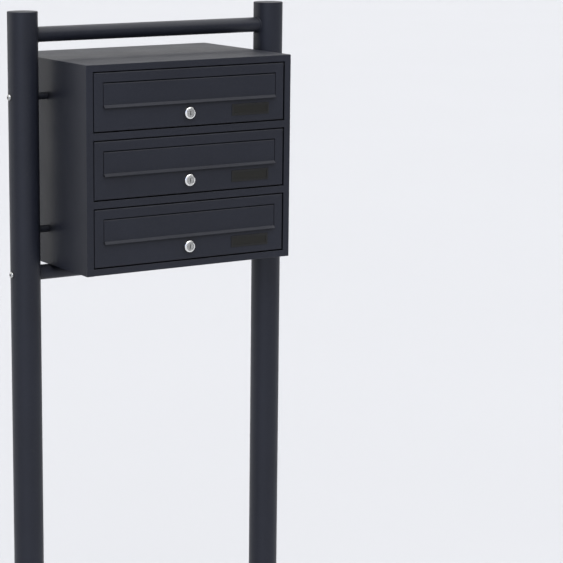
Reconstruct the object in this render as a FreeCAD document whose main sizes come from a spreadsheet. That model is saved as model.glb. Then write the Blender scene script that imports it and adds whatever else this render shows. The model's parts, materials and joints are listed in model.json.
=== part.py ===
import FreeCAD
import Part
import Sketcher

import math
import os

# A free-standing letter-box bank: three stacked horizontal compartments in one sheet-metal casing,
# held between two round posts on base plates.
#
# Frame: millimetres, +Z up.  The origin is on the ground midway between the posts, in the plane of the
# two post axes.  -Y is the front, where the doors are, and +X is to the right of someone facing them.
#
# Most pieces of a compartment are drawn in its bay frame: X as above, Y as depth behind the front face,
# and Z measured up from the top of that compartment, so heights inside a bay are negative.

DIMENSIONS = {
    # casing
    "box_width": 386.0,
    "box_height": 340.0,
    "box_depth": 275.0,
    "box_top": 1422.0,
    "casing_sheet": 1.2,
    "casing_fold": 1.5,
    "bay_pitch": 110.0,
    "opening_width": 362.0,
    "opening_top": 11.0,
    "opening_height": 98.0,
    "return_depth": 14.0,
    "ledge_depth": 20.0,
    "side_flange": 12.0,
    "strike_left": 8.0,
    "strike_right": 23.0,
    "strike_front": 13.4,
    "strike_back": 17.6,
    # door
    "door_gap": 1.5,
    "door_sheet": 1.5,
    "door_return": 10.0,
    "buffer_width": 12.0,
    "buffer_height": 8.0,
    "buffer_inset": 25.0,
    "buffer_clear": 0.5,
    "door_fold": 2.5,
    "hinge_inset": 4.5,
    "hinge_pin": 2.0,
    "hinge_bore": 2.05,
    "hinge_pin_inner": 172.0,
    "hinge_pin_length": 13.0,
    # letter slot and its flap
    "slot_half_width": 163.0,
    "slot_top": 28.5,
    "slot_bottom": 68.0,
    "slot_flange": 8.0,
    "flap_gap": 1.0,
    "flap_sheet": 1.5,
    "flap_roll": 3.0,
    "flap_rod": 1.45,
    "rod_overhang": 0.5,
    "flap_pad_width": 5.0,
    "flap_pad_depth": 3.5,
    "flap_pad_height": 7.0,
    "flap_pad_clear": 0.3,
    "flap_pad_rise": 1.0,
    "lip_start": 64.5,
    "lip_radius": 1.5,
    "lip_angle": 50.0,
    "lip_length": 4.5,
    # cam lock
    "lock_drop": 86.0,
    "lock_shift": -3.5,
    "lock_head": 10.0,
    "lock_head_out": 5.0,
    "lock_body": 8.0,
    "lock_body_flat": 7.0,
    "lock_depth": 14.0,
    "plug_radius": 5.45,
    "plug_bore": 5.5,
    "plug_shoulder": 6.9,
    "plug_seat": 6.95,
    "plug_seat_depth": 2.5,
    "plug_recess": 0.3,
    "plug_clear": 0.3,
    "plug_edge": 0.5,
    "lock_nut_rim": 1.5,
    "lock_nut_sheet": 3.0,
    "cam_start": 14.5,
    "cam_sheet": 2.0,
    "cam_half_width": 6.5,
    "cam_reach": 31.0,
    "cam_square": 7.0,
    "keyway_length": 7.6,
    "keyway_width": 1.3,
    "screw_radius": 2.0,
    "screw_head": 5.0,
    "screw_head_height": 2.4,
    "screw_head_edge": 1.0,
    "cross_length": 3.0,
    "cross_width": 0.5,
    "cross_depth": 1.3,
    # name plate
    "plate_left": 78.0,
    "plate_width": 72.0,
    "plate_height": 19.0,
    "plate_proud": 0.8,
    "plate_rim": 2.2,
    "plate_corner": 1.5,
    "plate_tray": 5.0,
    "plate_wall": 1.2,
    "plate_clear": 0.2,
    "window_setback": 0.3,
    "window_sheet": 1.5,
    # posts, bars and base plates
    "post_offset": 235.5,
    "post_radius": 25.0,
    "post_wall": 2.0,
    "post_top": 1500.0,
    "cap_height": 5.0,
    "cap_plug": 15.0,
    "cap_clear": 0.1,
    "bar_radius": 12.5,
    "bar_wall": 1.5,
    "top_bar_rise": 40.0,
    "base_size": 150.0,
    "base_sheet": 8.0,
    "base_hole": 6.0,
    "base_hole_offset": 55.0,
    "base_corner": 12.0,
    # fixings
    "spacer_radius": 6.0,
    "spacer_upper": 60.0,
    "spacer_lower": 280.0,
    "bolt_radius": 3.0,
    "bolt_clear": 3.2,
    "bolt_head": 5.25,
    "bolt_head_height": 3.3,
    "bolt_socket": 2.2,
    "bolt_overhang": 6.3,
    "end_bolt_grip": 15.0,
    "hex_nut": 5.8,
    "rivet_nut": 4.5,
    "post_nut_seat": 0.6,
    "bar_nut_seat": 0.9,
    "bar_plug_seat": 1.5,
    "floor_bolt_offset": 120.0,
}

BAYS = (1, 2, 3)
SIDES = {"left": -1, "right": 1}

DOC = FreeCAD.newDocument("letter_box_bank")
SHEET = DOC.addObject("Spreadsheet::Sheet", "Dims")
for row, (alias, value) in enumerate(DIMENSIONS.items(), 1):
    SHEET.set(f"A{row}", alias)
    SHEET.set(f"B{row}", str(value))
    SHEET.setAlias(f"B{row}", alias)
DOC.recompute()

SUBPARTS = []


# ---- small helpers ----------------------------------------------------------------------------------

def dims(text):
    """Turns "box_width/2" into an expression on the spreadsheet's cells."""
    for alias in sorted(DIMENSIONS, key=len, reverse=True):
        text = text.replace(alias, f"<{list(DIMENSIONS).index(alias)}>")
    for index, alias in enumerate(DIMENSIONS):
        text = text.replace(f"<{index}>", f"Dims.{alias}")
    return text


def number(text):
    """The value in millimetres of an expression on the spreadsheet's cells."""
    return float(SHEET.evalExpression(dims(text)))


def bind(thing, **expressions):
    """Binds properties such as Length or Radius to expressions."""
    for name, text in expressions.items():
        thing.setExpression(name, dims(text))


def place(thing, x="0", y="0", z="0", axis=None, angle=0):
    """Turns an object about an axis, then binds its position to three expressions."""
    turn = FreeCAD.Rotation(axis, angle) if axis else FreeCAD.Rotation()
    thing.Placement = FreeCAD.Placement(FreeCAD.Vector(number(x), number(y), number(z)), turn)
    for name, text in zip("xyz", (x, y, z)):
        thing.setExpression(f"Placement.Base.{name}", dims(text))


def keep(thing, label):
    """Names a finished sub-part, which is then written to its own file."""
    thing.Label = label
    SUBPARTS.append(thing)
    return thing


X_AXIS = FreeCAD.Vector(1, 0, 0)
Y_AXIS = FreeCAD.Vector(0, 1, 0)
Z_AXIS = FreeCAD.Vector(0, 0, 1)
FRONT = "-box_depth/2"


def bay_place(thing, bay, x="0"):
    """Puts a piece drawn in the bay frame into its compartment."""
    place(thing, x=x, y=FRONT, z=f"box_top-bay_pitch*{bay - 1}")


class Sketch:
    """A sketch on one of its body's origin planes, drawn from sides and radii on the spreadsheet."""

    def __init__(self, body, plane, offset="0"):
        self.item = body.newObject("Sketcher::SketchObject", "Sketch")
        support = [feature for feature in body.Origin.OriginFeatures if feature.Role == plane][0]
        self.item.AttachmentSupport = [(support, "")]
        self.item.MapMode = "FlatFace"
        self.item.setExpression("AttachmentOffset.Base.z", dims(offset))

    def bound(self, kind, geometry, point, text):
        """Fixes how far a point is from the sketch's origin along one direction."""
        index = self.item.addConstraint(
            Sketcher.Constraint(kind, -1, 1, geometry, point, number(text)))
        self.item.setExpression(f"Constraints[{index}]", dims(text))

    def rectangle(self, left, bottom, right, top):
        corners = [(left, bottom), (right, bottom), (right, top), (left, top)]
        points = [FreeCAD.Vector(number(x), number(y), 0) for x, y in corners]
        first = self.item.GeometryCount
        for index in range(4):
            self.item.addGeometry(Part.LineSegment(points[index], points[(index + 1) % 4]), False)
        for index in range(4):
            following = first + (index + 1) % 4
            self.item.addConstraint(Sketcher.Constraint("Coincident", first + index, 2, following, 1))
            level = "Horizontal" if index % 2 == 0 else "Vertical"
            self.item.addConstraint(Sketcher.Constraint(level, first + index))
        self.bound("DistanceX", first, 1, left)
        self.bound("DistanceY", first, 1, bottom)
        self.bound("DistanceX", first + 2, 1, right)
        self.bound("DistanceY", first + 2, 1, top)
        return self

    def circle(self, x, y, radius):
        centre = FreeCAD.Vector(number(x), number(y), 0)
        index = self.item.addGeometry(Part.Circle(centre, Z_AXIS, number(radius)), False)
        self.bound("DistanceX", index, 3, x)
        self.bound("DistanceY", index, 3, y)
        size = self.item.addConstraint(Sketcher.Constraint("Radius", index, number(radius)))
        self.item.setExpression(f"Constraints[{size}]", dims(radius))
        return self

    def polygon(self, points):
        """A closed outline through points given as pairs of expressions."""
        first = self.item.GeometryCount
        corners = [FreeCAD.Vector(number(x), number(y), 0) for x, y in points]
        for index, corner in enumerate(corners):
            following = corners[(index + 1) % len(corners)]
            self.item.addGeometry(Part.LineSegment(corner, following), False)
        for index, (x, y) in enumerate(points):
            following = first + (index + 1) % len(points)
            self.item.addConstraint(Sketcher.Constraint("Coincident", first + index, 2, following, 1))
            self.bound("DistanceX", first + index, 1, x)
            self.bound("DistanceY", first + index, 1, y)
        return self

    def outline(self, curves):
        """A closed outline of ready-made lines and arcs, held where they are."""
        for curve in curves:
            index = self.item.addGeometry(curve, False)
            self.item.addConstraint(Sketcher.Constraint("Block", index))
        return self


class Piece:
    """A PartDesign body that is built up feature by feature."""

    def __init__(self, name):
        self.body = DOC.addObject("PartDesign::Body", name)
        self.count = 0

    def sketch(self, plane, offset="0"):
        return Sketch(self.body, plane, offset)

    def feature(self, kind, **properties):
        self.count += 1
        added = self.body.newObject(f"PartDesign::{kind}", f"{kind}{self.count}")
        for name, value in properties.items():
            setattr(added, name, value)
        return added

    def volume(self):
        DOC.recompute()
        return self.body.Shape.Volume if self.body.Tip else 0.0

    def pad(self, sketch, length, away=False, both=False):
        """Adds material along the sketch's normal, or away from it, or half each way."""
        before = self.volume()
        added = self.feature("Pad", Profile=sketch.item, Reversed=away)
        if both:
            added.SideType = "Symmetric"
        bind(added, Length=length)
        if self.volume() <= before:
            raise ValueError(f"{self.body.Name}: a pad adds nothing")
        return self

    def pocket(self, sketch, length, away=False, both=False):
        """Takes material away against the sketch's normal, or along it, or half each way."""
        before = self.volume()
        added = self.feature("Pocket", Profile=sketch.item, Reversed=away)
        if both:
            added.SideType = "Symmetric"
        bind(added, Length=length)
        if self.volume() >= before:
            raise ValueError(f"{self.body.Name}: a pocket cuts nothing")
        return self

    def edges(self, chosen):
        DOC.recompute()
        return [f"Edge{index}" for index, edge in enumerate(self.body.Tip.Shape.Edges, 1)
                if chosen(edge.BoundBox)]

    def fillet(self, chosen, radius):
        """Rounds every edge whose box the given test picks."""
        names = self.edges(chosen)
        if not names:
            raise ValueError(f"{self.body.Name}: no edge to round")
        added = self.feature("Fillet", Base=(self.body.Tip, names))
        bind(added, Radius=radius)
        return self

    def chamfer(self, chosen, size):
        """Bevels every edge whose box the given test picks."""
        names = self.edges(chosen)
        if not names:
            raise ValueError(f"{self.body.Name}: no edge to bevel")
        added = self.feature("Chamfer", Base=(self.body.Tip, names))
        bind(added, Size=size)
        return self


def at(value, target):
    return abs(value - target) < 1e-4


def mirrored(source, label):
    """The mirror image of a finished solid on the other side of the middle plane."""
    image = DOC.addObject("Part::Mirroring", label)
    image.Source = source
    image.Normal = X_AXIS
    return image


def group(label, items):
    """Several separate solids of one kind, kept as one sub-part."""
    gathered = DOC.addObject("Part::Compound", label)
    gathered.Links = items
    return keep(gathered, label)


def mirrored_group(label, items):
    images = [mirrored(item, f"{label}_image{index}") for index, item in enumerate(items, 1)]
    return group(label, items + images)


def cylinder(name, radius, height):
    """A plain rod along its own Z axis."""
    rod = DOC.addObject("Part::Cylinder", name)
    bind(rod, Radius=radius, Height=height)
    return rod


# ---- posts, caps, base plates and bars ---------------------------------------------------------------

LOW_BAR = "(box_top-box_height-bar_radius)"
TOP_BAR = "(box_top+top_bar_rise)"
UPPER_SPACER = "(box_top-spacer_upper)"
LOWER_SPACER = "(box_top-spacer_lower)"


def post(side):
    """A round tube with the two through holes and the one rivet-nut hole that its fixings need."""
    sign = SIDES[side]
    piece = Piece(f"post_{side}_body")
    ring = piece.sketch("XY_Plane", "base_sheet")
    ring.circle("0", "0", "post_radius").circle("0", "0", "post_radius-post_wall")
    piece.pad(ring, "post_top-cap_height-base_sheet")
    through = piece.sketch("YZ_Plane")
    through.circle("0", UPPER_SPACER, "bolt_clear").circle("0", LOW_BAR, "bolt_clear")
    piece.pocket(through, "post_radius*2", both=True)
    nut_hole = piece.sketch("YZ_Plane").circle("0", LOWER_SPACER, "rivet_nut")
    piece.pocket(nut_hole, "post_radius", away=sign < 0)
    place(piece.body, x=f"post_offset*{sign}")
    keep(piece.body, f"post_{side}")


def post_cap(side):
    """A flat round cap with a rounded rim, its spigot pushed into the tube."""
    piece = Piece(f"post_cap_{side}_body")
    spigot = piece.sketch("XY_Plane").circle("0", "0", "post_radius-post_wall-cap_clear")
    piece.pad(spigot, "cap_plug", away=True)
    disc = piece.sketch("XY_Plane").circle("0", "0", "post_radius")
    piece.pad(disc, "cap_height")
    piece.fillet(lambda box: at(box.ZMin, number("cap_height")), "cap_height/5")
    core = piece.sketch("XY_Plane", "-cap_plug").circle("0", "0", "post_radius-post_wall*2")
    piece.pocket(core, "cap_plug-post_wall", away=True)
    place(piece.body, x=f"post_offset*{SIDES[side]}", z="post_top-cap_height")
    keep(piece.body, f"post_cap_{side}")


def base_plate(side):
    """A square foot plate with rounded corners and four anchor holes."""
    piece = Piece(f"base_plate_{side}_body")
    half = "base_size/2"
    square = piece.sketch("XY_Plane").rectangle(f"-{half}", f"-{half}", half, half)
    piece.pad(square, "base_sheet")
    piece.fillet(lambda box: at(box.ZLength, number("base_sheet")), "base_corner")
    piece.fillet(lambda box: at(box.ZMin, number("base_sheet")), "base_sheet/8")
    holes = piece.sketch("XY_Plane")
    for x in ("-base_hole_offset", "base_hole_offset"):
        for y in ("-base_hole_offset", "base_hole_offset"):
            holes.circle(x, y, "base_hole")
    piece.pocket(holes, "base_sheet", away=True)
    place(piece.body, x=f"post_offset*{SIDES[side]}")
    keep(piece.body, f"base_plate_{side}")


def cross_bar(label, height, bolted):
    """A round tube whose ends are coped to fit the posts."""
    piece = Piece(f"{label}_body")
    ring = piece.sketch("YZ_Plane")
    ring.circle("0", "0", "bar_radius").circle("0", "0", "bar_radius-bar_wall")
    piece.pad(ring, "post_offset*2", both=True)
    cope = piece.sketch("XY_Plane")
    cope.circle("-post_offset", "0", "post_radius").circle("post_offset", "0", "post_radius")
    piece.pocket(cope, "bar_radius*4", both=True)
    if bolted:
        holes = piece.sketch("XY_Plane")
        for x in ("-floor_bolt_offset", "floor_bolt_offset"):
            holes.circle(x, "0", "rivet_nut")
        piece.pocket(holes, "bar_radius", away=True)
    place(piece.body, z=height)
    keep(piece.body, label)


# ---- fixings ------------------------------------------------------------------------------------------

def bolt(name, length):
    """A domed socket-head bolt: the head below its local XY plane, the shank above."""
    piece = Piece(name)
    head = piece.sketch("XY_Plane").circle("0", "0", "bolt_head")
    piece.pad(head, "bolt_head_height", away=True)
    top = -number("bolt_head_height")
    piece.fillet(lambda box: at(box.ZMax, top), "bolt_head_height*0.75")
    shank = piece.sketch("XY_Plane").circle("0", "0", "bolt_radius")
    piece.pad(shank, length)
    piece.chamfer(lambda box: at(box.ZMin, number(length)), "bolt_radius/6")
    corners = [(f"bolt_socket*cos({turn})", f"bolt_socket*sin({turn})") for turn in range(0, 360, 60)]
    socket = piece.sketch("XY_Plane", "-bolt_head_height").polygon(corners)
    piece.pocket(socket, "bolt_head_height*0.6", away=True)
    return piece.body


def rivet_nut(name):
    """A plain threaded sleeve, flush with the wall that it is set in."""
    piece = Piece(name)
    ring = piece.sketch("XY_Plane")
    ring.circle("0", "0", "rivet_nut").circle("0", "0", "bolt_radius")
    piece.pad(ring, "rivet_nut*3")
    return piece.body


def post_side_fixings():
    """Everything that ties the casing and the low bar to the two posts."""
    outside = "-(post_offset+post_radius)"
    inside = "-(box_width/2-casing_sheet)"
    wall = "-(post_offset-post_radius)"

    spacers = []
    for index, height in enumerate((UPPER_SPACER, LOWER_SPACER), 1):
        piece = Piece(f"spacer{index}")
        ring = piece.sketch("YZ_Plane", "-post_offset")
        ring.circle("0", "0", "spacer_radius").circle("0", "0", "bolt_clear")
        piece.pad(ring, "post_offset-box_width/2")
        cope = piece.sketch("XY_Plane").circle("-post_offset", "0", "post_radius")
        piece.pocket(cope, "spacer_radius*4", both=True)
        place(piece.body, z=height)
        spacers.append(piece.body)
    mirrored_group("standoff_spacers", spacers)

    through = bolt("through_bolt", "post_offset+post_radius-box_width/2+casing_sheet+bolt_overhang")
    place(through, x=outside, z=UPPER_SPACER, axis=Y_AXIS, angle=90)
    mirrored_group("standoff_through_bolts", [through])

    nut = Piece("inner_nut")
    corners = [(f"hex_nut*cos({turn})", f"hex_nut*sin({turn})") for turn in range(0, 360, 60)]
    hexagon = nut.sketch("XY_Plane").polygon(corners).circle("0", "0", "bolt_radius")
    nut.pad(hexagon, "bolt_radius*1.7")
    place(nut.body, x=inside, z=UPPER_SPACER, axis=Y_AXIS, angle=90)
    mirrored_group("standoff_nuts", [nut.body])

    short = bolt("short_bolt", "post_offset-post_radius-box_width/2+casing_sheet+rivet_nut*2.5")
    place(short, x=inside, z=LOWER_SPACER, axis=Y_AXIS, angle=-90)
    mirrored_group("standoff_short_bolts", [short])

    sleeve = rivet_nut("post_sleeve")
    place(sleeve, x=f"{wall}-post_nut_seat", z=LOWER_SPACER, axis=Y_AXIS, angle=-90)
    mirrored_group("post_rivet_nuts", [sleeve])

    end_bolt = bolt("end_bolt", "post_radius*2+end_bolt_grip")
    place(end_bolt, x=outside, z=LOW_BAR, axis=Y_AXIS, angle=90)
    mirrored_group("low_bar_bolts", [end_bolt])

    plug = Piece("bar_plug")
    ring = plug.sketch("YZ_Plane")
    ring.circle("0", "0", "bar_radius-bar_wall").circle("0", "0", "bolt_radius")
    plug.pad(ring, "bar_radius*1.6")
    place(plug.body, x=f"{wall}+bar_plug_seat", z=LOW_BAR)
    mirrored_group("low_bar_plugs", [plug.body])


def floor_fixings():
    """The two bolts that hold the casing's floor down on the low bar."""
    floor = "box_top-box_height+casing_sheet"
    down = bolt("floor_bolt", "casing_sheet+bar_radius*1.6")
    place(down, x="-floor_bolt_offset", z=floor, axis=X_AXIS, angle=180)
    mirrored_group("floor_bolts", [down])
    sleeve = rivet_nut("floor_sleeve")
    place(sleeve, x="-floor_bolt_offset", z="box_top-box_height-bar_nut_seat", axis=X_AXIS, angle=180)
    mirrored_group("bar_rivet_nuts", [sleeve])


# ---- casing -------------------------------------------------------------------------------------------

def casing_shell():
    """One folded sheet: top and sides, with front flanges and the returns that the doors hang in."""
    piece = Piece("casing_shell_body")
    half = "box_width/2"
    inner = "(box_width/2-casing_sheet)"
    edge = "opening_width/2"
    bottom = "-box_height"

    wrap = piece.sketch("XZ_Plane").polygon([
        (f"-{half}", bottom), (f"-{half}", "0"), (half, "0"), (half, bottom),
        (inner, bottom), (inner, "-casing_sheet"), (f"-{inner}", "-casing_sheet"),
        (f"-{inner}", bottom)])
    piece.pad(wrap, "box_depth", away=True)

    flange = piece.sketch("XZ_Plane").polygon([
        (f"-{half}", bottom), (f"-{half}", "0"), (half, "0"), (half, bottom),
        (edge, bottom), (edge, "-opening_top"), (f"-{edge}", "-opening_top"), (f"-{edge}", bottom)])
    piece.pad(flange, "casing_sheet", away=True)

    outer = f"({edge}+casing_sheet)"
    foot = "-box_height+casing_sheet"
    returns = piece.sketch("XZ_Plane").polygon([
        (f"-{outer}", foot), (f"-{outer}", "-opening_top+casing_sheet"),
        (outer, "-opening_top+casing_sheet"), (outer, foot),
        (edge, foot), (edge, "-opening_top"), (f"-{edge}", "-opening_top"), (f"-{edge}", foot)])
    piece.pad(returns, "return_depth", away=True)

    width, top = number(half), 0.0
    piece.fillet(lambda box: at(box.YLength, number("box_depth")) and at(box.ZMax, top)
                 and at(abs(box.XMin), width), "casing_fold")
    piece.fillet(lambda box: at(box.YMax, 0) and (at(box.ZMin, top)
                 or (at(box.XMin, -width) and at(box.XMax, -width))
                 or (at(box.XMin, width) and at(box.XMax, width))), "casing_sheet*0.75")

    bolts = piece.sketch("YZ_Plane")
    bolts.circle("box_depth/2", "-spacer_upper", "bolt_clear")
    bolts.circle("box_depth/2", "-spacer_lower", "bolt_clear")
    piece.pocket(bolts, "box_width*2", both=True)
    hinges = piece.sketch("YZ_Plane")
    for bay in BAYS:
        hinges.circle("hinge_inset", f"{HINGE_HEIGHT}-bay_pitch*{bay - 1}", "hinge_bore")
    piece.pocket(hinges, "box_width-side_flange", both=True)
    place(piece.body, y=FRONT, z="box_top")
    keep(piece.body, "casing_shell")


def casing_floor():
    """The bottom sheet, folded up at the front into a flange and a ledge with the lowest strike slot."""
    piece = Piece("casing_floor_body")
    edge = "opening_width/2"
    inner = "box_width/2-casing_sheet"
    level = "-box_height"
    ledge = "-(opening_top+opening_height+bay_pitch*2)"

    sheet = piece.sketch("XY_Plane", level).rectangle(
        f"-({inner})", "return_depth", inner, "box_depth-casing_sheet")
    piece.pad(sheet, "casing_sheet")
    tongue = piece.sketch("XY_Plane", level).rectangle(f"-{edge}", "0", edge, "return_depth")
    piece.pad(tongue, "casing_sheet")
    flange = piece.sketch("XZ_Plane").rectangle(f"-{edge}", level, edge, ledge)
    piece.pad(flange, "casing_sheet", away=True)
    shelf = piece.sketch("XY_Plane", ledge).rectangle(f"-{edge}", "0", edge, "ledge_depth")
    piece.pad(shelf, "casing_sheet", away=True)
    piece.fillet(lambda box: at(box.YMax, 0) and at(box.ZMax, number(level)), "casing_sheet*0.75")
    piece.fillet(lambda box: at(box.YMax, 0) and at(box.ZMin, number(ledge)), "casing_sheet*0.75")

    strike = piece.sketch("XY_Plane", ledge).rectangle(
        "lock_shift-strike_left", "strike_front", "lock_shift+strike_right", "strike_back")
    piece.pocket(strike, "casing_sheet")
    holes = piece.sketch("XY_Plane", level)
    for x in ("-floor_bolt_offset", "floor_bolt_offset"):
        holes.circle(x, "box_depth/2", "bolt_clear")
    piece.pocket(holes, "casing_sheet", away=True)
    place(piece.body, y=FRONT, z="box_top")
    keep(piece.body, "casing_floor")


def shelf(label, bay):
    """The floor of one bay, folded at the front into the rail between two doors."""
    piece = Piece(f"{label}_body")
    edge = "opening_width/2"
    inner = "(box_width/2-casing_sheet)"
    level = "-(opening_top+opening_height)"
    rail_bottom = "-(bay_pitch+opening_top)"

    sheet = piece.sketch("XY_Plane", level).rectangle(
        f"-{inner}", "return_depth", inner, "box_depth-casing_sheet")
    piece.pad(sheet, "casing_sheet", away=True)
    tongue = piece.sketch("XY_Plane", level).rectangle(f"-{edge}", "0", edge, "return_depth")
    piece.pad(tongue, "casing_sheet", away=True)
    rail = piece.sketch("XZ_Plane").rectangle(f"-{edge}", rail_bottom, edge, level)
    piece.pad(rail, "casing_sheet", away=True)
    lintel = piece.sketch("XY_Plane", rail_bottom).rectangle(f"-{edge}", "0", edge, "return_depth")
    piece.pad(lintel, "casing_sheet")
    for sign in (-1, 1):
        sides = sorted((f"{inner}*{sign}", f"({inner}-casing_sheet)*{sign}"), key=number)
        flange = piece.sketch("XY_Plane", level).rectangle(
            sides[0], "ledge_depth", sides[1], "box_depth-ledge_depth")
        piece.pad(flange, "side_flange", away=True)
    piece.fillet(lambda box: at(box.YMax, 0) and at(box.ZLength, 0), "casing_sheet*0.75")

    strike = piece.sketch("XY_Plane", level).rectangle(
        "lock_shift-strike_left", "strike_front", "lock_shift+strike_right", "strike_back")
    piece.pocket(strike, "casing_sheet")
    bay_place(piece.body, bay)
    keep(piece.body, label)


def back_panel():
    """The rear sheet, folded forward along its top and bottom edges."""
    piece = Piece("back_panel_body")
    inner = "box_width/2-casing_sheet"
    rear = "-(box_depth-casing_sheet)"
    sheet = piece.sketch("XZ_Plane", rear).rectangle(
        f"-({inner})", "-box_height+casing_sheet", inner, "-casing_sheet")
    piece.pad(sheet, "casing_sheet", away=True)
    for low, high in (("-casing_sheet*2", "-casing_sheet"),
                      ("-box_height+casing_sheet", "-box_height+casing_sheet*2")):
        fold = piece.sketch("XZ_Plane", rear).rectangle(f"-({inner})", low, inner, high)
        piece.pad(fold, "side_flange")
    place(piece.body, y=FRONT, z="box_top")
    keep(piece.body, "back_panel")


def door_buffers():
    """Small rubber blocks on each bay's floor, just behind the closed door's lower return."""
    blocks = []
    for bay in BAYS:
        block = DOC.addObject("Part::Box", f"buffer{bay}")
        bind(block, Length="buffer_width", Width="return_depth-door_return-buffer_clear",
             Height="buffer_height")
        place(block, x="-opening_width/2+buffer_inset", y=f"{FRONT}+door_return+buffer_clear",
              z=f"box_top-opening_top-opening_height-bay_pitch*{bay - 1}")
        blocks.append(block)
    mirrored_group("door_buffers", blocks)


# ---- one door, its flap, its lock and its name plate ---------------------------------------------------

DOOR_TOP = "-(opening_top+door_gap)"
DOOR_BOTTOM = "-(opening_top+opening_height-door_gap)"
DOOR_HALF = "(opening_width/2-door_gap)"
HINGE_HEIGHT = "-(opening_top+door_gap+hinge_inset)"
FLAP_AXIS = "-(slot_top+flap_gap+flap_roll)"


def door_panel(bay):
    """A folded sheet pan with the letter slot, the lock hole and the name plate's hole cut in it."""
    piece = Piece(f"door_{bay}_panel_body")
    pan = piece.sketch("XZ_Plane").rectangle(f"-{DOOR_HALF}", DOOR_BOTTOM, DOOR_HALF, DOOR_TOP)
    piece.pad(pan, "door_return", away=True)
    piece.fillet(lambda box: at(box.YMax, 0), "door_fold")
    hollow = piece.sketch("XZ_Plane", "-door_return").rectangle(
        f"-({DOOR_HALF}-door_sheet)", f"{DOOR_BOTTOM}+door_sheet",
        f"{DOOR_HALF}-door_sheet", f"{DOOR_TOP}-door_sheet")
    piece.pocket(hollow, "door_return-door_sheet", away=True)
    sheet_back = number("door_sheet")
    piece.fillet(lambda box: at(box.YMax, sheet_back) and at(box.YMin, sheet_back),
                 "door_fold-door_sheet")

    slot = piece.sketch("XZ_Plane").rectangle(
        "-slot_half_width", "-slot_bottom", "slot_half_width", "-slot_top")
    piece.pocket(slot, "door_sheet")
    for sign in (-1, 1):
        sides = sorted((f"slot_half_width*{sign}", f"(slot_half_width+door_sheet)*{sign}"), key=number)
        ear = piece.sketch("XZ_Plane", "-door_sheet/2").rectangle(
            sides[0], "-slot_bottom", sides[1], "-slot_top")
        piece.pad(ear, "slot_flange-door_sheet/2", away=True)

    rod = piece.sketch("YZ_Plane").circle("flap_roll", FLAP_AXIS, "flap_rod")
    piece.pocket(rod, "slot_half_width*2+door_sheet*4", both=True)
    pins = piece.sketch("YZ_Plane").circle("hinge_inset", HINGE_HEIGHT, "hinge_pin")
    piece.pocket(pins, "opening_width", both=True)
    lock = piece.sketch("XZ_Plane").circle("lock_shift", "-lock_drop", "lock_body")
    piece.pocket(lock, "door_sheet")
    tray = name_plate_rectangle(piece, "0", "plate_rim-plate_clear")
    piece.pocket(tray, "door_sheet")
    bay_place(piece.body, bay)
    keep(piece.body, f"door_{bay}_panel")


def name_plate_rectangle(piece, depth, inset):
    """A sketch of the name plate's rectangle, drawn in by a margin on every side."""
    return piece.sketch("XZ_Plane", depth).rectangle(
        f"plate_left+({inset})", f"-lock_drop-plate_height/2+({inset})",
        f"plate_left+plate_width-({inset})", f"-lock_drop+plate_height/2-({inset})")


def door_hinge_pins(bay):
    """A fixed pin in each side return of the door, turning in the casing's return."""
    pin = cylinder(f"hinge_pin{bay}", "hinge_pin", "hinge_pin_length")
    place(pin, x="-(hinge_pin_inner+hinge_pin_length)", y=f"{FRONT}+hinge_inset",
          z=f"box_top+{HINGE_HEIGHT}-bay_pitch*{bay - 1}", axis=Y_AXIS, angle=90)
    mirrored_group(f"door_{bay}_hinge_pins", [pin])


def flap_rod(bay):
    rod = cylinder(f"flap_{bay}_rod_body", "flap_rod", "(slot_half_width+door_sheet+rod_overhang)*2")
    place(rod, x="-(slot_half_width+door_sheet+rod_overhang)", y=f"{FRONT}+flap_roll",
          z=f"box_top+{FLAP_AXIS}-bay_pitch*{bay - 1}", axis=Y_AXIS, angle=90)
    keep(rod, f"flap_{bay}_rod")


def flap_profile():
    """The flap's section: a flat sheet whose lower edge is folded outwards into a finger lip."""
    sheet = number("flap_sheet")
    radius = number("lip_radius")
    start = -number("lip_start")
    turn = math.radians(number("lip_angle"))
    run = number("lip_length")
    top = number(FLAP_AXIS)
    centre = FreeCAD.Vector(-radius, start, 0)

    def on_bend(size, angle):
        return centre + FreeCAD.Vector(size * math.cos(angle), -size * math.sin(angle), 0)

    downhill = FreeCAD.Vector(-math.sin(turn), -math.cos(turn), 0)
    slope = downhill * run
    outer_end = on_bend(radius, turn)
    inner_end = on_bend(radius + sheet, turn)
    tip = (outer_end + inner_end) * 0.5 + slope + downhill * (sheet / 2)
    return [
        Part.LineSegment(FreeCAD.Vector(0, top, 0), FreeCAD.Vector(0, start, 0)),
        Part.Arc(FreeCAD.Vector(0, start, 0), on_bend(radius, turn / 2), outer_end),
        Part.LineSegment(outer_end, outer_end + slope),
        Part.Arc(outer_end + slope, tip, inner_end + slope),
        Part.LineSegment(inner_end + slope, inner_end),
        Part.Arc(inner_end, on_bend(radius + sheet, turn / 2), FreeCAD.Vector(sheet, start, 0)),
        Part.LineSegment(FreeCAD.Vector(sheet, start, 0), FreeCAD.Vector(sheet, top, 0)),
        Part.LineSegment(FreeCAD.Vector(sheet, top, 0), FreeCAD.Vector(0, top, 0)),
    ]


def flap(bay):
    """The letter flap: a sheet with its top edge rolled round the rod."""
    piece = Piece(f"flap_{bay}_body")
    width = "(slot_half_width-flap_gap)*2"
    roll = piece.sketch("YZ_Plane").circle("flap_roll", FLAP_AXIS, "flap_roll")
    piece.pad(roll, width, both=True)
    leaf = piece.sketch("YZ_Plane").outline(flap_profile())
    piece.pad(leaf, width, both=True)
    bore = piece.sketch("YZ_Plane").circle("flap_roll", FLAP_AXIS, "flap_roll-flap_sheet")
    piece.pocket(bore, "slot_half_width*3", both=True)
    bay_place(piece.body, bay)
    keep(piece.body, f"flap_{bay}")


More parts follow.
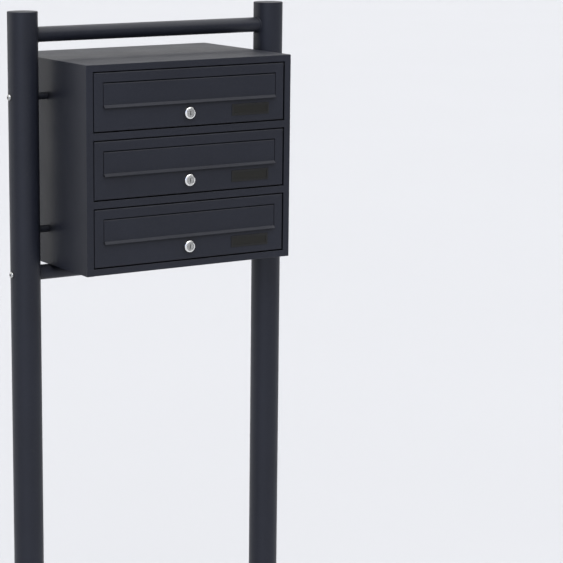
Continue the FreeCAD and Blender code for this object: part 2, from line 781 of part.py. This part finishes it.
def flap_buffers(bay):
    """Rubber pads on the slot's side flanges, which the closed flap rests against."""
    pad = DOC.addObject("Part::Box", f"flap_pad{bay}")
    bind(pad, Length="flap_pad_width", Width="flap_pad_depth", Height="flap_pad_height")
    place(pad, x="-slot_half_width", y=f"{FRONT}+flap_sheet+flap_pad_clear",
          z=f"box_top-lip_start+flap_pad_rise-bay_pitch*{bay - 1}")
    mirrored_group(f"flap_{bay}_buffers", [pad])


def lock_housing(bay):
    """The fixed barrel of the cam lock: a round flanged head in front, a body with two flats behind."""
    piece = Piece(f"lock_{bay}_housing_body")
    head = piece.sketch("XZ_Plane").circle("0", "-lock_drop", "lock_head")
    piece.pad(head, "lock_head_out")
    body = piece.sketch("XZ_Plane").circle("0", "-lock_drop", "lock_body")
    piece.pad(body, "lock_depth", away=True)
    face = -number("lock_head_out")
    piece.fillet(lambda box: at(box.YMin, face) and at(box.YMax, face), "lock_head_out*0.45")
    for low, high in (("-lock_body", "-lock_body_flat"), ("lock_body_flat", "lock_body")):
        flat = piece.sketch("XZ_Plane", "-door_sheet*3").rectangle(
            low, "-lock_drop-lock_body", high, "-lock_drop+lock_body")
        piece.pocket(flat, "lock_depth")
    bore = piece.sketch("XZ_Plane").circle("0", "-lock_drop", "plug_bore")
    piece.pocket(bore, "lock_depth*3", both=True)
    seat = piece.sketch("XZ_Plane", "lock_head_out").circle("0", "-lock_drop", "plug_seat")
    piece.pocket(seat, "plug_seat_depth")
    bay_place(piece.body, bay, x="lock_shift")
    keep(piece.body, f"lock_{bay}_housing")


def lock_nut(bay):
    """The ring nut that clamps the barrel behind the door sheet."""
    piece = Piece(f"lock_{bay}_nut_body")
    corners = [(f"(lock_head+lock_nut_rim)*cos({turn})",
                f"-lock_drop+(lock_head+lock_nut_rim)*sin({turn})")
               for turn in range(30, 390, 60)]
    ring = piece.sketch("XZ_Plane", "-door_sheet").polygon(corners)
    ring.circle("0", "-lock_drop", "lock_body")
    piece.pad(ring, "lock_nut_sheet", away=True)
    bay_place(piece.body, bay, x="lock_shift")
    keep(piece.body, f"lock_{bay}_nut")


def lock_plug(bay):
    """The turning core: a keyed front disc, a round shaft and a square end for the cam."""
    piece = Piece(f"lock_{bay}_plug_body")
    face = "(lock_head_out-plug_recess)"
    disc = piece.sketch("XZ_Plane", face).circle("0", "-lock_drop", "plug_shoulder")
    piece.pad(disc, "plug_seat_depth-plug_recess-plug_clear", away=True)
    shaft = piece.sketch("XZ_Plane", face).circle("0", "-lock_drop", "plug_radius")
    piece.pad(shaft, f"{face}+lock_depth", away=True)
    half = "cam_square/2"
    square = piece.sketch("XZ_Plane", "-lock_depth").rectangle(
        f"-{half}", f"-lock_drop-{half}", half, f"-lock_drop+{half}")
    piece.pad(square, "cam_start+cam_sheet-lock_depth", away=True)
    front = -number(face)
    piece.fillet(lambda box: at(box.YMin, front) and at(box.YMax, front), "plug_edge")
    keyway = piece.sketch("XZ_Plane", face).rectangle(
        "-keyway_width/2", "-lock_drop-keyway_length/2", "keyway_width/2", "-lock_drop+keyway_length/2")
    piece.pocket(keyway, "lock_depth*0.6")
    tapped = piece.sketch("XZ_Plane", "-(cam_start+cam_sheet)").circle("0", "-lock_drop", "screw_radius")
    piece.pocket(tapped, "lock_depth*0.5", away=True)
    bay_place(piece.body, bay, x="lock_shift")
    keep(piece.body, f"lock_{bay}_plug")


def lock_cam(bay):
    """A flat steel tongue on the core's square end, level when unlocked and hanging when locked."""
    piece = Piece(f"lock_{bay}_cam_body")
    start = "-cam_start"
    hub = piece.sketch("XZ_Plane", start).circle("0", "-lock_drop", "cam_half_width")
    piece.pad(hub, "cam_sheet", away=True)
    tongue = piece.sketch("XZ_Plane", start).rectangle(
        "0", "-lock_drop-cam_half_width", "cam_reach-cam_half_width", "-lock_drop+cam_half_width")
    piece.pad(tongue, "cam_sheet", away=True)
    tip = piece.sketch("XZ_Plane", start).circle(
        "cam_reach-cam_half_width", "-lock_drop", "cam_half_width")
    piece.pad(tip, "cam_sheet", away=True)
    half = "cam_square/2"
    hole = piece.sketch("XZ_Plane", start).rectangle(
        f"-{half}", f"-lock_drop-{half}", half, f"-lock_drop+{half}")
    piece.pocket(hole, "cam_sheet")
    bay_place(piece.body, bay, x="lock_shift")
    keep(piece.body, f"lock_{bay}_cam")


def lock_cam_screw(bay):
    """The small screw that holds the cam on the core."""
    piece = Piece(f"lock_{bay}_cam_screw_body")
    seat = "-(cam_start+cam_sheet)"
    shank = piece.sketch("XZ_Plane", seat).circle("0", "-lock_drop", "screw_radius")
    piece.pad(shank, "lock_depth*0.45")
    head = piece.sketch("XZ_Plane", seat).circle("0", "-lock_drop", "screw_head")
    piece.pad(head, "screw_head_height", away=True)
    rear = number("cam_start+cam_sheet+screw_head_height")
    piece.fillet(lambda box: at(box.YMin, rear) and at(box.YMax, rear), "screw_head_edge")
    for across, up in (("cross_length", "cross_width"), ("cross_width", "cross_length")):
        cross = piece.sketch("XZ_Plane", f"{seat}-screw_head_height").rectangle(
            f"-{across}", f"-lock_drop-{up}", across, f"-lock_drop+{up}")
        piece.pocket(cross, "cross_depth", away=True)
    bay_place(piece.body, bay, x="lock_shift")
    keep(piece.body, f"lock_{bay}_cam_screw")


def name_plate_holder(bay):
    """A plastic bezel with a shallow tray behind it for a name card."""
    piece = Piece(f"nameplate_{bay}_holder_body")
    bezel = name_plate_rectangle(piece, "0", "0")
    piece.pad(bezel, "plate_proud")
    proud = number("plate_proud")
    piece.fillet(lambda box: at(box.YLength, proud), "plate_corner")
    piece.fillet(lambda box: at(box.YMax, -proud), "plate_proud/2")
    tray = name_plate_rectangle(piece, "0", "plate_rim")
    piece.pad(tray, "plate_tray", away=True)
    hollow = name_plate_rectangle(piece, "plate_proud", "plate_rim+plate_wall")
    piece.pocket(hollow, "plate_proud+plate_tray-plate_wall")
    bay_place(piece.body, bay)
    keep(piece.body, f"nameplate_{bay}_holder")


def name_plate_window(bay):
    """The clear strip in front of the name card, held in the holder's tray."""
    piece = Piece(f"nameplate_{bay}_window_body")
    strip = name_plate_rectangle(piece, "window_setback", "plate_rim+plate_wall")
    piece.pad(strip, "window_sheet", away=True)
    bay_place(piece.body, bay)
    keep(piece.body, f"nameplate_{bay}_window")


# ---- assembly -----------------------------------------------------------------------------------------

for side in SIDES:
    post(side)
    post_cap(side)
    base_plate(side)
cross_bar("top_bar", TOP_BAR, bolted=False)
cross_bar("low_bar", LOW_BAR, bolted=True)
post_side_fixings()
floor_fixings()
casing_shell()
casing_floor()
shelf("shelf_upper", 1)
shelf("shelf_lower", 2)
back_panel()
door_buffers()
for bay in BAYS:
    door_panel(bay)
    door_hinge_pins(bay)
    flap_rod(bay)
    flap(bay)
    flap_buffers(bay)
    lock_housing(bay)
    lock_nut(bay)
    lock_plug(bay)
    lock_cam(bay)
    lock_cam_screw(bay)
    name_plate_holder(bay)
    name_plate_window(bay)
DOC.recompute()

for thing in DOC.Objects:
    if {"Invalid", "Error"} & set(thing.State):
        raise ValueError(f"{thing.Name}: {thing.State}")
for thing in SUBPARTS:
    if thing.Shape.isNull() or not thing.Shape.isValid():
        raise ValueError(f"{thing.Label}: no valid shape")

os.makedirs("parts", exist_ok=True)
for thing in SUBPARTS:
    thing.Shape.exportStep(f"parts/{thing.Label}.step")
print(len(SUBPARTS), "sub-parts written")
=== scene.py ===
import json
import math

import bmesh
import bpy
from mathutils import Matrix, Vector

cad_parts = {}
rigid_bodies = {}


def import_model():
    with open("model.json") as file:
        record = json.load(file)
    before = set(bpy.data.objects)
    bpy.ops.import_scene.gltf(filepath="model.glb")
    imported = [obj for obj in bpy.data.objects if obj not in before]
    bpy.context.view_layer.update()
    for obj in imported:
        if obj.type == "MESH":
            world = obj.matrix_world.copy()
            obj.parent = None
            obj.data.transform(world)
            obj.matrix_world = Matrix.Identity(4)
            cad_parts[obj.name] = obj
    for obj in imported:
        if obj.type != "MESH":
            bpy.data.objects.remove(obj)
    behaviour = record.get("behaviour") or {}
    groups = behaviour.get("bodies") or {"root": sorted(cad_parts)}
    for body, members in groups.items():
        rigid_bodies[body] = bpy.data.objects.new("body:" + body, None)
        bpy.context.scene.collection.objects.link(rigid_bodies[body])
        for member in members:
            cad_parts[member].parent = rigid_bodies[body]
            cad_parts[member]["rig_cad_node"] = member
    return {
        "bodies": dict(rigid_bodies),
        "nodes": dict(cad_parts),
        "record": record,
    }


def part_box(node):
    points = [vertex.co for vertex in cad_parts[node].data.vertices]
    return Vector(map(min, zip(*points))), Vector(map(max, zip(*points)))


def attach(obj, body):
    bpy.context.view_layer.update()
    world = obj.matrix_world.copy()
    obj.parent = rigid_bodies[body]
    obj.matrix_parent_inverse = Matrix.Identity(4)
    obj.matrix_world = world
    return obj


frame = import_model()
NODES = frame["nodes"]
MM = 0.001
SIDES = {"left": -1, "right": 1}


def clear_startup_objects():
    """Removes what Blender's start-up file holds, so that only the frame is left."""
    for item in list(bpy.data.objects):
        if "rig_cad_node" not in item and item not in frame["bodies"].values():
            bpy.data.objects.remove(item)


clear_startup_objects()
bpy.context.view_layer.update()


# ---- building materials out of nodes -------------------------------------------------------------------

# A Mix node has a pair of inputs and an output for each kind of data. These are its colour sockets.
MIX_FIRST, MIX_SECOND, MIX_RESULT = 6, 7, 2


def shade(colour, factor):
    return tuple(channel * factor for channel in colour)


class Finish:
    """A Principled material with helpers for the procedural detail that feeds it."""

    def __init__(self, name, **uniform):
        self.material = bpy.data.materials.new(name)
        self.material.use_nodes = True
        self.tree = self.material.node_tree
        self.shader = self.tree.nodes["Principled BSDF"]
        for socket, value in uniform.items():
            self.shader.inputs[socket.replace("_", " ")].default_value = value
        self.coordinates = self.add("ShaderNodeTexCoord").outputs["Object"]
        self.relief = None

    def add(self, kind, **settings):
        node = self.tree.nodes.new(kind)
        for name, value in settings.items():
            setattr(node, name, value)
        return node

    def link(self, source, target):
        self.tree.links.new(source, target)

    def set(self, socket, value):
        self.link(value, self.shader.inputs[socket])

    def stretched(self, scale):
        """Object coordinates scaled differently along each axis, for grain with a direction."""
        mapping = self.add("ShaderNodeMapping")
        mapping.inputs["Scale"].default_value = scale
        self.link(self.coordinates, mapping.inputs["Vector"])
        return mapping.outputs["Vector"]

    def noise(self, scale, detail=2.0, roughness=0.5, vector=None):
        """Cloudy noise with this many features to a metre."""
        node = self.add("ShaderNodeTexNoise")
        node.inputs["Scale"].default_value = scale
        node.inputs["Detail"].default_value = detail
        node.inputs["Roughness"].default_value = roughness
        self.link(vector or self.coordinates, node.inputs["Vector"])
        return node.outputs["Fac"]

    def cells(self, scale):
        """Distance from the middle of irregular cells."""
        node = self.add("ShaderNodeTexVoronoi")
        node.inputs["Scale"].default_value = scale
        self.link(self.coordinates, node.inputs["Vector"])
        return node.outputs["Distance"]

    def ranged(self, value, low, high, to_low=0.0, to_high=1.0):
        """Maps low..high to to_low..to_high and holds the ends."""
        node = self.add("ShaderNodeMapRange")
        for socket, number in zip(("From Min", "From Max", "To Min", "To Max"),
                                  (low, high, to_low, to_high)):
            node.inputs[socket].default_value = number
        self.link(value, node.inputs["Value"])
        return node.outputs["Result"]

    def maths(self, operation, first, second):
        node = self.add("ShaderNodeMath", operation=operation)
        self.link(first, node.inputs[0])
        self.link(second, node.inputs[1])
        return node.outputs["Value"]

    def mixed(self, factor, first, second):
        """A colour between two colours, each given as numbers or as a socket."""
        node = self.add("ShaderNodeMix", data_type="RGBA")
        self.link(factor, node.inputs["Factor"])
        for place, colour in ((MIX_FIRST, first), (MIX_SECOND, second)):
            if isinstance(colour, tuple):
                node.inputs[place].default_value = (*colour, 1.0)
            else:
                self.link(colour, node.inputs[place])
        return node.outputs[MIX_RESULT]

    def facing_up(self):
        """0 on walls and undersides, rising to 1 on level tops."""
        normal = self.add("ShaderNodeNewGeometry").outputs["Normal"]
        split = self.add("ShaderNodeSeparateXYZ")
        self.link(normal, split.inputs["Vector"])
        return self.ranged(split.outputs["Z"], 0.55, 1.0)

    def sheltered(self, reach, buried=0.25, clear=0.75):
        """1 where surfaces within reach hide most of the sky, falling to 0 on open faces. It masks painted
        shade.
        """
        open_sky = self.add("ShaderNodeAmbientOcclusion", samples=8)
        open_sky.inputs["Distance"].default_value = reach
        return self.ranged(open_sky.outputs["AO"], buried, clear, 1.0, 0.0)

    def bump(self, height, depth, strength):
        """Adds one layer of relief, its depth in metres, on top of the layers before it."""
        node = self.add("ShaderNodeBump")
        node.inputs["Strength"].default_value = strength
        node.inputs["Distance"].default_value = depth
        self.link(height, node.inputs["Height"])
        if self.relief:
            self.link(self.relief, node.inputs["Normal"])
        self.relief = node.outputs["Normal"]
        self.set("Normal", self.relief)


# ---- the object's materials ----------------------------------------------------------------------------

def powder_coat(name, colour):
    """Fine-textured matt powder coat: a sandy grain over a faint orange peel. Painted shade darkens it in
    sheltered corners, and level tops carry a patchy lighter colour, part dust and part painted light."""
    finish = Finish(name, Specular_IOR_Level=0.29)
    speck_colour = (0.05, 0.05, 0.06)
    dust_and_top_light_colour = (0.16, 0.16, 0.165)

    cloud = finish.noise(7.0, detail=3.0)
    speck = finish.noise(1500.0, detail=1.0)
    tone = finish.mixed(finish.ranged(cloud, 0.35, 0.65), shade(colour, 0.90), shade(colour, 1.10))
    tone = finish.mixed(finish.ranged(speck, 0.58, 0.72, 0.0, 0.4), tone, speck_colour)
    # Painted shade: faces sheltered within 30 mm turn towards a third of the coat's colour.
    tone = finish.mixed(finish.sheltered(30.0 * MM, 0.45, 0.95), tone, shade(colour, 0.35))
    # Level tops take a patchy lighter colour: part dust, part painted light standing in for the brightly lit
    # tops.
    patches = finish.noise(24.0, detail=6.0, roughness=0.65)
    dust_and_top_light = finish.maths("MULTIPLY", finish.facing_up(), finish.ranged(patches, 0.42, 0.75, 0.0, 0.05))
    finish.set("Base Color", finish.mixed(dust_and_top_light, tone, dust_and_top_light_colour))

    gloss = finish.ranged(finish.noise(16.0, detail=5.0), 0.3, 0.7, 0.41, 0.49)
    finish.set("Roughness", finish.maths("ADD", gloss, finish.ranged(speck, 0.3, 0.7, -0.03, 0.03)))

    orange_peel = finish.noise(240.0)
    grain = finish.noise(1000.0, detail=3.0, roughness=0.6)
    finish.bump(orange_peel, 0.08 * MM, 0.6)
    finish.bump(grain, 0.12 * MM, 1.0)
    return finish.material


def bare_steel(name, colour, roughness, crevice_shade_reach, direction=(1.0, 1.0, 1.0)):
    """Bright metal with drawn grain and faint smudges, and painted shade in crevices up to the reach
    argument wide.
    """
    finish = Finish(name, Metallic=1.0)
    crevice_shade_colour = (0.012, 0.011, 0.010)

    grain = finish.noise(420.0, detail=3.0, vector=finish.stretched(direction))
    smudge = finish.noise(60.0, detail=4.0)
    clean = finish.mixed(finish.ranged(smudge, 0.35, 0.7, 0.0, 0.6), colour, shade(colour, 0.78))
    # Painted shade: crevices within the reach are darkened to near black.
    finish.set("Base Color", finish.mixed(finish.sheltered(crevice_shade_reach), clean, crevice_shade_colour))

    finish.set("Roughness", finish.maths(
        "ADD", finish.ranged(grain, 0.3, 0.7, roughness * 0.7, roughness * 1.25),
        finish.ranged(smudge, 0.4, 0.7, 0.0, roughness * 0.4)))
    finish.bump(grain, 0.02 * MM, 0.4)
    return finish.material


def zinc_plate(name):
    """Bright zinc with the faint patchy bloom of plated pressings."""
    finish = Finish(name, Metallic=1.0)
    bloom = finish.ranged(finish.cells(230.0), 0.1, 0.8)
    finish.set("Base Color", finish.mixed(bloom, (0.46, 0.47, 0.49), (0.60, 0.60, 0.58)))
    finish.set("Roughness", finish.ranged(finish.noise(90.0, detail=3.0), 0.3, 0.7, 0.26, 0.42))
    finish.bump(finish.noise(900.0), 0.03 * MM, 0.4)
    return finish.material


def plated_lock(name):
    """Nickel-chrome over a die casting: nearly mirror bright, with fine handling scratches."""
    finish = Finish(name, Metallic=1.0)
    scratches = finish.noise(900.0, vector=finish.stretched((1.0, 1.0, 0.06)))
    wear = finish.noise(340.0, detail=4.0)
    finish.set("Base Color", finish.mixed(
        finish.ranged(wear, 0.4, 0.75, 0.0, 0.5), (0.84, 0.84, 0.83), (0.66, 0.66, 0.65)))
    finish.set("Roughness", finish.maths(
        "ADD", finish.ranged(wear, 0.35, 0.7, 0.13, 0.22), finish.ranged(scratches, 0.55, 0.75, 0.0, 0.10)))
    finish.bump(scratches, 0.008 * MM, 0.5)
    return finish.material


def black_plastic(name):
    """Injection-moulded plastic with a fine spark-eroded grain."""
    finish = Finish(name, Specular_IOR_Level=0.36)
    grain = finish.noise(1500.0)
    cloud = finish.ranged(finish.noise(40.0, detail=3.0), 0.35, 0.65)
    finish.set("Base Color", finish.mixed(cloud, (0.0050, 0.0050, 0.0046), (0.0080, 0.0080, 0.0074)))
    finish.set("Roughness", finish.ranged(grain, 0.3, 0.7, 0.42, 0.56))
    finish.bump(grain, 0.03 * MM, 0.6)
    return finish.material


def rubber(name):
    """Matt black rubber with mould haze."""
    finish = Finish(name)
    haze = finish.noise(260.0, detail=4.0)
    finish.set("Base Color", finish.mixed(
        finish.ranged(haze, 0.35, 0.7), (0.012, 0.012, 0.012), (0.026, 0.026, 0.027)))
    finish.set("Roughness", finish.ranged(haze, 0.3, 0.7, 0.72, 0.86))
    finish.bump(finish.noise(2200.0), 0.03 * MM, 0.5)
    return finish.material


def smoked_window(name):
    """A smoked acrylic strip over an empty dark tray, slightly hazed by wiping."""
    finish = Finish(name, Specular_IOR_Level=0.30)
    wipe = finish.noise(30.0, detail=5.0, vector=finish.stretched((0.25, 1.0, 1.0)))
    finish.set("Base Color", finish.mixed(
        finish.ranged(wipe, 0.35, 0.7), (0.0060, 0.0058, 0.0043), (0.0090, 0.0087, 0.0068)))
    finish.set("Roughness", finish.ranged(wipe, 0.3, 0.75, 0.26, 0.40))
    finish.bump(finish.noise(45.0, detail=1.0), 0.04 * MM, 0.4)
    return finish.material


ANTHRACITE = (0.0100, 0.0116, 0.0185)
STAINLESS = (0.48, 0.48, 0.47)
NICKEL = (0.45, 0.45, 0.44)
DRAWN_ALONG_X = (0.15, 1.0, 1.0)

MATERIALS = {
    "powder_coat": powder_coat("powder_coat", ANTHRACITE),
    "stainless_steel": bare_steel("stainless_steel", STAINLESS, 0.24, 3.0 * MM, DRAWN_ALONG_X),
    "zinc_steel": zinc_plate("zinc_steel"),
    "lock_chrome": plated_lock("lock_chrome"),
    "satin_nickel": bare_steel("satin_nickel", NICKEL, 0.28, 3.0 * MM),
    "rubber": rubber("rubber"),
    "black_plastic": black_plastic("black_plastic"),
    "plate_window": smoked_window("plate_window"),
}


def dress_cad_nodes():
    """Every CAD node takes the material of its slot in the record."""
    for entry in frame["record"]["subparts"]:
        mesh = NODES[entry["node"]].data
        mesh.materials.clear()
        mesh.materials.append(MATERIALS[entry["material_slot"]])


dress_cad_nodes()


# ---- weld beads ----------------------------------------------------------------------------------------

POST_RADIUS = 25.0 * MM
BAR_RADIUS = 12.5 * MM
FOOT_LEG = 5.0 * MM
FOOT_RIPPLE = 3.4 * MM
BAR_LEG = 1.9 * MM
BAR_RIPPLE = 2.2 * MM

RINGS_PER_RIPPLE = 8
FEWEST_RINGS = 96
BEAD_ARC = [math.radians(angle) for angle in range(-8, 99, 12)]

# As shares of a bead's leg: how deep its hidden corner sits in the joint, how far its surface reaches
# out at its edges, and what its middle adds to that.
ROOT_DEPTH = 0.25
EDGE_REACH = 0.80
CROWN = 0.12

# As shares of that reach: the height of the ripples, and of the slow swells in one turn round the bead.
RIPPLE_HEIGHT = 0.10
SWELL_HEIGHT = 0.05
SWELLS = 9.0
RIPPLE_CURVE = 0.35     # how far a ripple's middle runs ahead of its ends, in ripples


def finish_piece(name, mesh, slot, body):
    """Turns a bmesh into an object with its material, slot and body."""
    data = bpy.data.meshes.new(name)
    mesh.to_mesh(data)
    mesh.free()
    data.shade_smooth()
    data.materials.append(MATERIALS[slot])
    item = bpy.data.objects.new(name, data)
    bpy.context.scene.collection.objects.link(item)
    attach(item, body)


def weld_bead(name, corner, leg, ripple, length):
    """A closed fillet weld. corner(t) gives the joint's point at 0..1 of the way round and the two
    directions that run away from it along the surfaces it joins."""
    ripples = length / ripple
    rings = max(FEWEST_RINGS, int(ripples) * RINGS_PER_RIPPLE)
    mesh = bmesh.new()
    sections = []
    for index in range(rings):
        turn = index / rings
        point, first, second = corner(turn)
        swell = SWELL_HEIGHT * math.sin(SWELLS * math.tau * turn)
        ring = [mesh.verts.new(point - (first + second) * leg * ROOT_DEPTH)]
        for angle in BEAD_ARC:
            crest = math.sin(2 * angle)
            phase = turn * round(ripples) + RIPPLE_CURVE * crest
            ridge = 1.0 + RIPPLE_HEIGHT * abs(math.sin(math.pi * phase)) + swell
            reach = leg * ridge * (EDGE_REACH + CROWN * crest)
            ring.append(mesh.verts.new(point + (first * math.cos(angle) + second * math.sin(angle)) * reach))
        sections.append(ring)
    for index, ring in enumerate(sections):
        following = sections[(index + 1) % rings]
        for place in range(len(ring)):
            beside = (place + 1) % len(ring)
            mesh.faces.new((ring[place], following[place], following[beside], ring[beside]))
    bmesh.ops.recalc_face_normals(mesh, faces=mesh.faces)
    finish_piece(name, mesh, "powder_coat", "frame")


def middle(node):
    low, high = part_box(node)
    return (Vector(low) + Vector(high)) / 2


def foot_weld(side):
    """The bead round the bottom of a post, on top of its base plate."""
    centre = middle(f"post_{side}")
    top_of_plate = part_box(f"base_plate_{side}")[1][2]

    def corner(turn):
        angle = math.tau * turn
        outward = Vector((math.cos(angle), math.sin(angle), 0.0))
        point = Vector((centre.x, centre.y, top_of_plate)) + outward * POST_RADIUS
        return point, outward, Vector((0.0, 0.0, 1.0))

    weld_bead(f"foot_weld_{side}", corner, FOOT_LEG, FOOT_RIPPLE, math.tau * POST_RADIUS)


def bar_weld(side):
    """The small bead where the top bar meets a post, along the saddle-shaped joint."""
    post = middle(f"post_{side}")
    bar = middle("top_bar")
    inward = Vector((-SIDES[side], 0.0, 0.0))

    def corner(turn):
        angle = math.tau * turn
        from_bar = Vector((0.0, math.cos(angle), math.sin(angle)))
        across = BAR_RADIUS * from_bar.y
        from_post = (inward * math.sqrt(POST_RADIUS ** 2 - across ** 2) + Vector((0.0, across, 0.0)))
        point = Vector((post.x, post.y, bar.z + BAR_RADIUS * from_bar.z)) + from_post
        from_post.normalize()
        along_post = (from_bar - from_post * from_bar.dot(from_post)).normalized()
        return point, inward, along_post

    weld_bead(f"bar_weld_{side}", corner, BAR_LEG, BAR_RIPPLE, math.tau * BAR_RADIUS)


for side in SIDES:
    foot_weld(side)
    bar_weld(side)


# ---- stage, light and camera ---------------------------------------------------------------------------

FLOOR_RADIUS = 80.0
FLOOR_DARK = (0.4520, 0.4565, 0.4745)
FLOOR_LIGHT = (0.4570, 0.4615, 0.4795)
WALL = (0.847, 0.855, 0.888)

# Distant soft lights: azimuth, elevation, strength, angular spread and, where it isn't white, colour.
# Azimuth 0 shines from the front and 90 from the viewer's right.
SUNS = {
    "key": (0.0, 50.0, 2.05, 60.0),
    "right_fill": (60.0, 50.0, 0.86, 60.0),
    "back_right": (120.0, 50.0, 1.16, 60.0),
    "back_fill": (180.0, 50.0, 0.80, 60.0),
    "overhead": (300.0, 75.0, 1.28, 40.0),
    "left_fill": (315.0, 15.0, 1.05, 50.0, (0.90, 0.98, 1.22)),
    "back_left_rim": (225.0, 15.0, 1.27, 50.0),
    "back_right_rim": (135.0, 15.0, 0.28, 50.0),
}


def floor():
    """A wide pale floor that fills the picture behind the object."""
    finish = Finish("floor_paint", Roughness=0.85)
    cloud = finish.ranged(finish.noise(0.7, detail=4.0), 0.3, 0.7)
    finish.set("Base Color", finish.mixed(cloud, FLOOR_DARK, FLOOR_LIGHT))
    bpy.ops.mesh.primitive_circle_add(vertices=128, radius=FLOOR_RADIUS, fill_type="NGON")
    ground = bpy.context.object
    ground.name = "floor"
    ground.data.materials.append(finish.material)


def studio_wall():
    """Past the floor's edge the eye meets a wall of the floor's own paleness; it gives no light."""
    scene = bpy.context.scene
    scene.world = scene.world or bpy.data.worlds.new("studio")
    scene.world.use_nodes = True
    tree = scene.world.node_tree
    unlit = tree.nodes["Background"]
    unlit.inputs["Strength"].default_value = 0.0
    wall = tree.nodes.new("ShaderNodeBackground")
    wall.inputs["Color"].default_value = (*WALL, 1.0)
    seen = tree.nodes.new("ShaderNodeLightPath")
    mix = tree.nodes.new("ShaderNodeMixShader")
    tree.links.new(seen.outputs["Is Camera Ray"], mix.inputs["Fac"])
    tree.links.new(unlit.outputs["Background"], mix.inputs[1])
    tree.links.new(wall.outputs["Background"], mix.inputs[2])
    tree.links.new(mix.outputs["Shader"], tree.nodes["World Output"].inputs["Surface"])


def soft_sun(name, azimuth, elevation, strength, spread, colour=(1.0, 1.0, 1.0)):
    """A distant light whose azimuth and elevation say where it shines from."""
    light = bpy.data.lights.new(name, "SUN")
    light.energy = strength
    light.angle = math.radians(spread)
    light.color = colour
    item = bpy.data.objects.new(name, light)
    turn, lift = math.radians(azimuth), math.radians(elevation)
    source = Vector((math.sin(turn) * math.cos(lift), -math.cos(turn) * math.cos(lift), math.sin(lift)))
    item.rotation_mode = "QUATERNION"
    item.rotation_quaternion = source.to_track_quat("Z", "Y")
    bpy.context.scene.collection.objects.link(item)


def camera():
    """The viewpoint: left of the object and a little above its top, through a long lens."""
    lens = bpy.data.cameras.new("camera")
    lens.lens = 138.30
    lens.sensor_width = 36.0
    lens.shift_x = 0.2439
    lens.shift_y = 0.0246
    lens.clip_end = 5 * FLOOR_RADIUS
    item = bpy.data.objects.new("camera", lens)
    item.location = (-1.7987, -3.1484, 1.7408)
    item.rotation_euler = (math.radians(78.59), math.radians(0.081), math.radians(-29.616))
    bpy.context.scene.collection.objects.link(item)
    bpy.context.scene.camera = item


bpy.context.scene.view_settings.view_transform = "Standard"
floor()
studio_wall()
for name, settings in SUNS.items():
    soft_sun(name, *settings)
camera()
